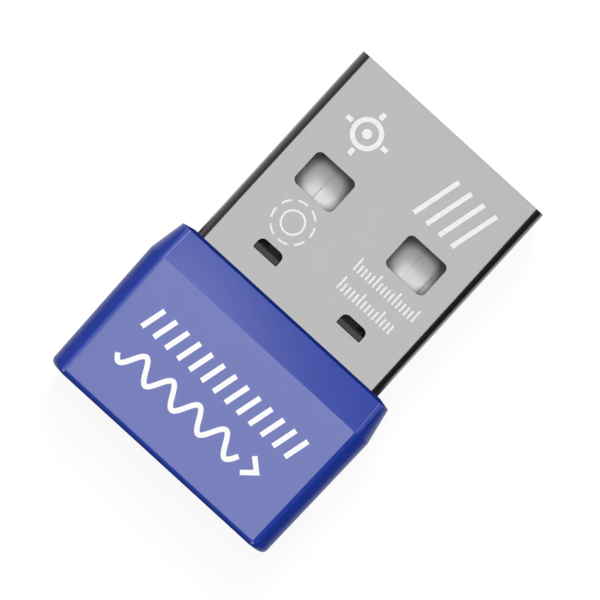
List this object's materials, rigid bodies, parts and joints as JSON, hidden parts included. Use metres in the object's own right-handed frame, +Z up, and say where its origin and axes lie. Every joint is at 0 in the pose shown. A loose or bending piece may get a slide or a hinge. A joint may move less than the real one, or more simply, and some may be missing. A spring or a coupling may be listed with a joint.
{
  "type": "mouse jiggler dongle",
  "caption": "Small plug-in mouse jiggler: a moulded cap with a ridged top and bowed sides on the back of a flat rectangular steel computer plug.",
  "frame": {"origin": "centre of the cap's shoulder plane, on the plug's own axis, where the plug's travel into a port stops", "axes": "+Y along the plug, out of its mouth; +Z up, towards the side with the hollow over the contacts and the latch slots; +X to the right seen from above with the mouth pointing away"},
  "size_m": [0.0144, 0.0217, 0.0068],
  "materials": {
    "cap_plastic": "satin moulded",
    "shell_steel": "satin nickel plate",
    "tongue_plastic": "moulded",
    "frame_plastic": "moulded",
    "contact_nickel": "satin nickel plate",
    "board_laminate": "solder mask over glass laminate",
    "solder": "reflowed solder",
    "film": "amber film",
    "chip_black": "moulded epoxy",
    "tinned_copper": "matt tin plate",
    "crystal_ceramic": "fired ceramic",
    "can_steel": "nickel plate",
    "fuse_ceramic": "glazed",
    "capacitor_ceramic": "fired ceramic",
    "resistor_glaze": "black glaze on alumina"
  },
  "bodies": {
    "root": {"housing_cap": "cap_plastic", "plug_shell": "shell_steel", "contact_tongue": "tongue_plastic", "latch_frame": "frame_plastic", "contact_vbus": "contact_nickel", "contact_data_minus": "contact_nickel", "contact_data_plus": "contact_nickel", "contact_ground": "contact_nickel", "circuit_board": "board_laminate", "contact_solder": "solder", "leg_solder": "solder", "insulating_film": "film", "controller_body": "chip_black", "controller_leads": "tinned_copper", "crystal_base": "crystal_ceramic", "crystal_lid": "can_steel", "input_fuse": "fuse_ceramic", "input_capacitor": "capacitor_ceramic", "core_capacitor": "capacitor_ceramic", "crystal_capacitors": "capacitor_ceramic", "data_resistors": "resistor_glaze", "pull_up_resistor": "resistor_glaze", "chip_terminals": "solder"}
  },
  "joints": []
}
